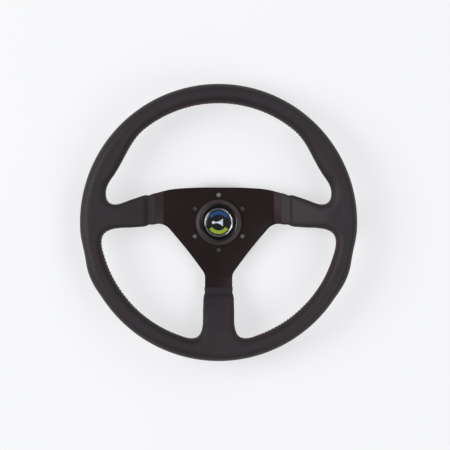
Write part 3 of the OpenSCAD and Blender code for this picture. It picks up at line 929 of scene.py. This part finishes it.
def red_waxed_thread():
    f = Finish("red_waxed_thread")
    fibre = f.noise(2600, 2)
    shade = f.noise(90, 2)
    colour = f.blend(shade.ramp(0.3, 0.7), (0.135, 0.014, 0.013), (0.225, 0.026, 0.020))
    colour = f.blend(fibre.ramp(0.55, 0.2) * 0.4, colour, (0.05, 0.007, 0.006))
    return f.surface(
        Base_Color=colour, Roughness=0.5 + (fibre - 0.5) * 0.2, Normal=f.bump(fibre, 0.00012)
    )


def black_anodised(name, level, rough_level):
    """Fine-blasted black aluminium; its level says how dark it is."""
    f = Finish(name)
    blast = f.noise(5200, 2, 0.6)
    clouds = f.noise(32, 3)
    smears = f.noise(9, 4, 0.6, (1.0, 2.4, 1.0))
    colour = f.blend(
        clouds.ramp(0.3, 0.7),
        tuple(level * c for c in (0.92, 0.62, 0.62)),
        tuple(level * c for c in (1.14, 0.80, 0.80)),
    )
    rough = rough_level + (smears - 0.5) * 0.14 + (blast - 0.5) * 0.08
    return f.surface(
        Base_Color=colour,
        Metallic=0.2,
        Specular_IOR_Level=0.34,
        Specular_Tint=(1.0, 0.76, 0.75, 1.0),
        Roughness=rough,
        Normal=f.bump(blast, 0.00003),
    )


def housing_black_plastic():
    f = Finish("housing_black_plastic")
    erosion = f.noise(3000, 3, 0.6)
    clouds = f.noise(45, 2)
    scuffs = f.noise(260, 3, 0.7, (1.0, 0.2, 1.0)).ramp(0.62, 0.80)
    tone = f.blend(clouds.ramp(0.3, 0.7), (0.0198, 0.0198, 0.0207), (0.0242, 0.0242, 0.0253))
    tone = f.blend(scuffs * 0.12, tone, (0.0452, 0.0452, 0.0468))
    rough = 0.5 + (erosion - 0.5) * 0.12 + (clouds - 0.5) * 0.06
    return f.surface(
        Base_Color=tone, Specular_IOR_Level=0.34, Roughness=rough, Normal=f.bump(erosion, 0.00005)
    )


def collar_black():
    """Sand-blasted black on the collar's wide band, polished and darker on its inner bevel."""
    f = Finish("collar_black")
    erosion = f.noise(3800, 3, 0.6)
    clouds = f.noise(45, 2)
    bevel = f.distance_from_axis().ramp((BEVEL_R + 0.1) * MM, (BEVEL_R - 0.1) * MM)
    tone = f.blend(clouds.ramp(0.3, 0.7), (0.0235, 0.0178, 0.0166), (0.0290, 0.0222, 0.0208))
    tone = f.blend(bevel * 0.85, tone, (0.004, 0.0036, 0.0036))
    rough = 0.50 - bevel * 0.22 + (erosion - 0.5) * 0.12 + (clouds - 0.5) * 0.06
    return f.surface(
        Base_Color=tone, Specular_IOR_Level=0.34, Roughness=rough, Normal=f.bump(erosion, 0.00005)
    )


def gloss_black_cap():
    f = Finish("gloss_black_cap")
    clouds = f.noise(60, 2)
    wipes = f.noise(500, 2, 0.5, (1.0, 0.12, 1.0)).ramp(0.60, 0.85)
    colour = f.blend(clouds, (0.0015, 0.0015, 0.0018), (0.0035, 0.0035, 0.004))
    return f.surface(
        Base_Color=colour,
        Specular_IOR_Level=0.2,
        Roughness=0.10 + wipes * 0.10 + (clouds - 0.5) * 0.03,
        Normal=f.bump(clouds, 0.00005),
    )


def plain_metal(name, colour, rough_level, stretch, scale=900):
    """Bare metal with fine lines along one direction and a faint tarnish."""
    f = Finish(name)
    lines = f.noise(scale, 3, 0.6, stretch)
    clouds = f.noise(120, 3)
    tone = f.blend(clouds.ramp(0.35, 0.75), colour, tuple(0.72 * c for c in colour))
    return f.surface(
        Base_Color=tone,
        Metallic=1.0,
        Roughness=rough_level + (lines - 0.5) * 0.20 + (clouds - 0.5) * 0.10,
        Normal=f.bump(lines, 0.00002),
    )


def moulded_foam():
    f = Finish("moulded_foam")
    pores = f.cells(1400)
    clouds = f.noise(70, 2)
    colour = f.blend(clouds.ramp(0.3, 0.7), (0.045, 0.045, 0.043), (0.07, 0.069, 0.066))
    return f.surface(
        Base_Color=colour, Roughness=0.86 + (pores - 0.5) * 0.1, Normal=f.bump(pores, 0.0003)
    )


def phenolic_sheet():
    f = Finish("phenolic_sheet")
    weave = f.noise(1500, 2, 0.5, (1.0, 0.25, 1.0)) + f.noise(1500, 2, 0.5, (0.25, 1.0, 1.0))
    clouds = f.noise(80, 3)
    colour = f.blend(clouds.ramp(0.3, 0.7), (0.13, 0.05, 0.02), (0.20, 0.085, 0.035))
    return f.surface(
        Base_Color=colour, Roughness=0.42 + (clouds - 0.5) * 0.15, Normal=f.bump(weave, 0.00004)
    )


def printed_badge():
    """Generic print: a horn sign between a blue arc above and a lime arc below, on black."""
    f = Finish("printed_badge")
    parts = f.node("ShaderNodeSeparateXYZ", inputs={"Vector": f.place()})
    x = Value(f, parts.outputs[0]) * (1 / MM)
    y = Value(f, parts.outputs[1]) * (1 / MM)
    reach = (x * x + y * y) ** 0.5
    edge = 0.12
    arc_in, arc_out, arc_half = 10.2, 14.6, 55.0

    def band(value, low, high):
        return value.ramp(low - edge, low + edge) * value.ramp(high + edge, high - edge)

    def box(u, half_u, v, half_v):
        within_u = abs(u).ramp(half_u + edge, half_u - edge)
        return within_u * abs(v).ramp(half_v + edge, half_v - edge)

    slope = y.step("ARCTAN2", x) * (180 / math.pi)
    arc = band(reach, arc_in, arc_out)
    above = arc * abs(slope - 90.0).ramp(arc_half + 1, arc_half - 0.5)
    below = arc * abs(slope + 90.0).ramp(arc_half + 1, arc_half - 0.5)
    from_throat = (x + 1.5).most(0.0)
    bell_half = 1.1 + from_throat * from_throat * 0.095
    bell_mask = band(x, -1.5, 4.1) * (bell_half - abs(y)).ramp(-edge, edge)
    lip = box(x - 4.9, 0.55, y, 4.5)
    pipe = box(x + 3.6, 2.3, y, 0.75)
    bulb_reach = ((x + 6.6) * (x + 6.6) + y * y) ** 0.5
    bulb = bulb_reach.ramp(1.9 + edge, 1.9 - edge)
    sign = bell_mask.most(lip).most(pipe).most(bulb)
    ring = reach.ramp(17.55, 17.7)
    flakes = f.noise(9000, 1)
    ground = f.blend(flakes.ramp(0.55, 0.75) * 0.2, (0.001, 0.001, 0.0012), (0.01, 0.01, 0.012))
    colour = f.blend(above, ground, (0.009, 0.062, 0.20))
    colour = f.blend(below, colour, (0.33, 0.42, 0.022))
    colour = f.blend(sign, colour, (0.72, 0.74, 0.77))
    colour = f.blend(ring, colour, (0.11, 0.11, 0.115))
    return f.surface(
        Base_Color=colour,
        Metallic=ring * 0.8,
        Specular_IOR_Level=0.02,
        Roughness=0.30 + (flakes - 0.5) * 0.06,
        Normal=f.bump(flakes * (1 - ring), 0.00001),
    )


def clear_resin():
    """Clear cast dome: see-through, with reflections that grow towards its edge."""
    f = Finish("clear_resin")
    ripple = f.noise(60, 1)
    normal = f.bump(ripple, 0.00002)
    clear = f.node("ShaderNodeBsdfTransparent", inputs={"Color": (0.97, 0.98, 0.985, 1.0)})
    gloss = f.node("ShaderNodeBsdfGlossy", inputs={"Roughness": 0.12, "Normal": normal})
    facing = f.value(
        "ShaderNodeLayerWeight", inputs={"Blend": 0.5, "Normal": normal}, output="Facing"
    )
    head_on = 0.034
    shine = head_on + facing**5.0 * (1 - head_on)
    thick_edge = f.distance_from_axis().ramp(0.0156, 0.0170)
    share = shine + thick_edge * 0.22
    return f.ended(
        f.node("ShaderNodeMixShader", inputs={0: share, 1: clear.outputs[0], 2: gloss.outputs[0]})
    )


def pale_table():
    """White table, lit like any paper and lifted where it is seen, but not under the hub, where
    leaving out the lift paints a shadow.
    """
    f = Finish("pale_table")
    speckle = f.noise(6, 2)
    paper = f.node(
        "ShaderNodeBsdfDiffuse",
        inputs={"Color": f.blend(speckle, (0.86, 0.865, 0.875), (0.89, 0.895, 0.90))},
    )
    glow = f.node(
        "ShaderNodeEmission", inputs={"Color": (0.958, 0.962, 0.975, 1.0), "Strength": 1.0}
    )
    # The lift fades out towards the axis: painted shade on the table under the hub.
    beyond_painted_hub_shade = f.distance_from_axis().ramp(0.040, 0.062)
    path = f.node("ShaderNodeLightPath")
    seen = Value(f, path.outputs["Is Camera Ray"])
    seen = seen.most(Value(f, path.outputs["Is Glossy Ray"]))
    seen = seen.most(Value(f, path.outputs["Is Transmission Ray"]))
    lifted = seen * (0.03 + beyond_painted_hub_shade * 0.57)
    return f.ended(
        f.node("ShaderNodeMixShader", inputs={0: lifted, 1: paper.outputs[0], 2: glow.outputs[0]})
    )


# Pieces
def leather_skin(finish):
    """The leather over rim, grips and spoke pads; its seam is marked afterwards by mark_seam."""
    rough = leather_form()
    remesh = rough.modifiers.new("one_skin", "REMESH")
    remesh.mode = "VOXEL"
    remesh.voxel_size = 1.25 * MM
    remesh.use_smooth_shade = True
    skin = flattened(rough, "leather_skin")
    points = np.empty(len(skin.data.vertices) * 3)
    skin.data.vertices.foreach_get("co", points)
    roots = near_roots(points.reshape(-1, 3) / MM)
    relaxed(skin.data, 2, np.full(len(roots), 0.5))
    relaxed(skin.data, 34, 0.5 * roots)
    skin.data.shade_smooth()
    skin.data.materials.append(finish)
    return skin


def bevelled_plate(face_finish, edge_highlight_finish):
    """The spoke plate with rounded outline edges, whose rounding gets a lighter finish: a painted
    highlight for the light the rounding catches.
    """
    piece = merged_copy("spoke_plate", "bevelled_plate")
    form = bmesh.new()
    form.from_mesh(piece.data)
    weights = form.edges.layers.float.new("bevel_weight_edge")
    around_hole, bore_end, outline_end = 5 * MM, 30 * MM, 120 * MM
    turns = [math.radians(30 + 60 * k) for k in range(6)]
    holes = [Vector((BOLT_R * math.cos(a), BOLT_R * math.sin(a))) * MM for a in turns]
    for edge in form.edges:
        flat = ((edge.verts[0].co + edge.verts[1].co) / 2).to_2d()
        sharp = len(edge.link_faces) == 2 and edge.calc_face_angle(0) > math.radians(60)
        clear = all((flat - hole).length > around_hole for hole in holes)
        if sharp and clear and bore_end < flat.length < outline_end:
            edge[weights] = 1.0
    form.to_mesh(piece.data)
    form.free()
    piece.data.materials.append(face_finish)
    piece.data.materials.append(edge_highlight_finish)
    rounding = piece.modifiers.new("rounded_edges", "BEVEL")
    rounding.limit_method = "WEIGHT"
    rounding.width = 1.0 * MM
    rounding.segments = 3
    # The rounding takes the lighter edge finish, a painted highlight.
    rounding.material = 1
    plate = flattened(piece, "bevelled_plate")
    smooth_by_angle(plate, 35)
    return plate


def smooth_piece(node, name, finish):
    """A turned CAD node with its facets shaded as one surface."""
    piece = merged_copy(node, name)
    smooth_by_angle(piece, 32)
    piece.data.materials.append(finish)
    return piece


def collar_ring(finish):
    """The collar with a worked crown: a wide sloped band, a fine groove and a bevel to the cap."""
    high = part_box("horn_collar")[1]
    edge_r, crown_z = high[0] / MM, high[2] / MM
    cut = 3.0
    cap_gap_r = CAP_R + 0.3
    sleeve = merged_copy("horn_collar", "collar_ring")
    form = bmesh.new()
    form.from_mesh(sleeve.data)
    bmesh.ops.bisect_plane(
        form, geom=form.verts[:] + form.edges[:] + form.faces[:],
        plane_co=(0, 0, cut * MM), plane_no=(0, 0, 1), clear_outer=True,
    )
    bmesh.ops.bridge_loops(form, edges=[e for e in form.edges if e.is_boundary])
    reaches = [v.co.to_2d().length / MM for v in form.verts if abs(v.co.z - cut * MM) < 1e-6]
    inner_r, outer_r = min(reaches), max(reaches)
    below_top = [
        (inner_r, 1.8), (cap_gap_r, 1.8), (cap_gap_r, 1.2), (23.8, 0.25), (24.0, 0.5),
        (BEVEL_R, 0.5), (24.45, 0.1), (24.8, 0.0), (28.85, 1.55), (29.1, 1.9), (29.25, 2.5),
        (edge_r, 3.3),
    ]
    crown = turned("crown", [
        (inner_r, cut - 0.2),
        *((r, crown_z - depth) for r, depth in below_top),
        (edge_r, PLATE_T), (outer_r - 0.02, PLATE_T), (outer_r - 0.02, cut - 0.2),
    ])
    form.from_mesh(crown.data)
    bpy.data.objects.remove(crown)
    bmesh.ops.recalc_face_normals(form, faces=form.faces)
    form.to_mesh(sleeve.data)
    form.free()
    smooth_by_angle(sleeve, 32)
    sleeve.data.materials.append(finish)
    return sleeve


def badge_lens(finish):
    """Clear dome cast on the badge, a slice of a ball."""
    low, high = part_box("badge_dome")
    edge, bottom, rise = high[0] / MM, low[2] / MM + 0.02, (high[2] - low[2]) / MM - 0.02
    ball = (edge * edge + rise * rise) / (2 * rise)
    tilts = np.linspace(0, math.asin(edge / ball), 25)
    arc = [(ball * math.sin(t), bottom + rise - ball * (1 - math.cos(t))) for t in tilts]
    lens = turned("badge_lens", [*arc, (0.0, bottom)])
    smooth_by_angle(lens, 8)
    lens.data.materials.append(finish)
    return lens


def coiled_spring(finish):
    """The return spring as one round wire, with a flat turn at each end."""
    low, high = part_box("return_spring")
    turns, flat_turn = 6, 0.6
    steps, sides = 36, 12
    wire_r = 0.4
    coil_r = high[0] / MM - wire_r
    bottom, top = low[2] / MM + wire_r, high[2] / MM - wire_r
    rings = []
    for i in range(turns * steps + 1):
        angle = 2 * math.pi * i / steps
        climb = float(clamp((i / steps - flat_turn) / (turns - 2 * flat_turn)))
        ring = []
        for k in range(sides):
            turn = 2 * math.pi * k / sides
            reach = coil_r + wire_r * math.cos(turn)
            height = mix(bottom, top, climb) + wire_r * math.sin(turn)
            ring.append((reach * math.cos(angle), reach * math.sin(angle), height))
        rings.append(ring)
    spring = mesh_object("coiled_spring", *loft(rings))
    smooth_by_angle(spring, 50)
    spring.data.materials.append(finish)
    return spring


def press_with_button(piece):
    """Works out what share of the spring's length the button travels and gives the spring its own
    mesh; the spring is not shortened.
    """
    low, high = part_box("return_spring")
    press = next(joint for joint in frame["joints"] if joint["name"] == "horn_press")
    share = press["range_m"][1] / (high[2] - low[2])
    1 - share
    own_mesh(piece)


def dress(node, finish):
    """Gives a carried-over CAD node its finish."""
    slots = NODES[node].material_slots
    if not slots:
        NODES[node].data.materials.append(finish)
    for slot in slots:
        slot.material = finish


def stand(piece, body, node):
    """Ties a piece to its body and hides the CAD node it stands for, if any."""
    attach(piece, body)
    if node:
        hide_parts(node)
    return piece


leather = smooth_black_leather()
thread = red_waxed_thread()
anodised = black_anodised("satin_black_anodised", 0.009, 0.33)
# A lighter copy of the anodised finish for the plate's rounded edges: a painted highlight.
edge_highlight_anodised = black_anodised("black_edge_painted_highlight", 0.04, 0.36)
housing_black = housing_black_plastic()
gloss_black = gloss_black_cap()
aluminium = plain_metal("bare_aluminium", (0.66, 0.66, 0.68), 0.38, (1.0, 0.15, 1.0))
brass = plain_metal("rolled_brass", (0.72, 0.50, 0.20), 0.30, (1.0, 0.12, 1.0))
tinned = plain_metal("tinned_brass", (0.66, 0.65, 0.62), 0.36, (1.0, 1.0, 0.2))
spring_wire = plain_metal("spring_wire", (0.46, 0.46, 0.48), 0.28, (1.0, 1.0, 0.3), 2000)
zinc = plain_metal("zinc_plated_steel", (0.60, 0.61, 0.64), 0.30, (1.0, 1.0, 1.0), 1200)

skin = stand(leather_skin(leather), "wheel", "leather_cover")
runs = seam_paths()
on_skin = [set_on_surface(resampled(run, 1.0), skin)[0] for run in runs]
mark_seam(skin, on_skin)
stand(sewn_stitches(on_skin, skin, thread), "wheel", None)
stand(bevelled_plate(anodised, edge_highlight_anodised), "wheel", "spoke_plate")
stand(collar_ring(collar_black()), "wheel", "horn_collar")
cap = smooth_piece("button_cap", "pressed_cap", gloss_black)
stand(cap, "button", "button_cap")
badge = smooth_piece("badge_disc", "badge_print", printed_badge())
stand(badge, "button", "badge_disc")
stand(badge_lens(clear_resin()), "button", "badge_dome")
cup = smooth_piece("button_housing", "button_cup", housing_black)
stand(cup, "wheel", "button_housing")
spring = stand(coiled_spring(spring_wire), "wheel", "return_spring")
press_with_button(spring)

for node in ("core_ring", "left_spoke_rivets", "right_spoke_rivets", "bottom_spoke_rivets"):
    dress(node, aluminium)
for node in ("moving_contact", "spring_seat", "fixed_contact", "contact_rivets"):
    dress(node, brass)
dress("rim_foam", moulded_foam())
dress("contact_base", phenolic_sheet())
dress("spring_terminal", tinned)
dress("ring_terminal", tinned)
dress("base_screws", zinc)

# Table, light and camera
TABLE_HALF = 2500
table_z = cad_bounds[0][2] / MM
corners = [(TABLE_HALF * x, TABLE_HALF * y, table_z) for x, y in ((-1, -1), (1, -1), (1, 1), (-1, 1))]
table = mesh_object("table", corners, [(0, 1, 2, 3)], smooth=False)
table.data.materials.append(pale_table())


# Each lamp's place, its width and height in metres and its power in watts
LAMPS = (
    ("left_softbox", (-2.3, 0.2, 2.0), 1.7, 1.7, 55),
    ("lower_right_softbox", (1.8, -1.3, 2.4), 2.0, 2.0, 30),
    ("upper_right_softbox", (1.5, 1.7, 2.4), 2.0, 2.0, 21),
    ("left_strip", (-1.10, 0.36, 2.34), 1.1, 0.20, 2.4),
    ("upper_right_strip", (1.12, 0.36, 2.34), 0.7, 0.16, 1.4),
    ("lower_right_strip", (1.11, -0.40, 2.34), 0.7, 0.16, 1.4),
)


def softbox(name, place, wide, high, power):
    """Lamp that faces the wheel's centre, wide along the table and high across that."""
    light = bpy.data.lights.new(name, "AREA")
    light.shape = "RECTANGLE"
    light.size = wide
    light.size_y = high
    light.energy = power
    back = Vector(place).normalized()
    level = Vector((0, 0, 1)).cross(back).normalized()
    turn = Matrix((level, back.cross(level), back)).transposed()
    lamp = in_scene(name, light)
    lamp.location = place
    lamp.rotation_euler = turn.to_euler()


for facts in LAMPS:
    softbox(*facts)

world = bpy.data.worlds.new("studio")
world.use_nodes = True
background = world.node_tree.nodes["Background"]
background.inputs["Color"].default_value = (0.97, 0.98, 1.0, 1.0)
background.inputs["Strength"].default_value = 0.30
bpy.context.scene.world = world
bpy.context.scene.view_settings.view_transform = "Standard"

# The camera looks straight down, a little right of and below the wheel's centre
IMAGE_WIDTH = 567.8
CAMERA_RISE = 2200.0
CAMERA_PLACE = (8.1, -3.2, RIM_Z + CAMERA_RISE)
camera = bpy.data.cameras.new("camera")
camera.sensor_width = 36
camera.lens = camera.sensor_width * CAMERA_RISE / IMAGE_WIDTH
camera.clip_end = 20
camera_object = in_scene("camera", camera)
camera_object.location = Vector(CAMERA_PLACE) * MM
bpy.context.scene.camera = camera_object
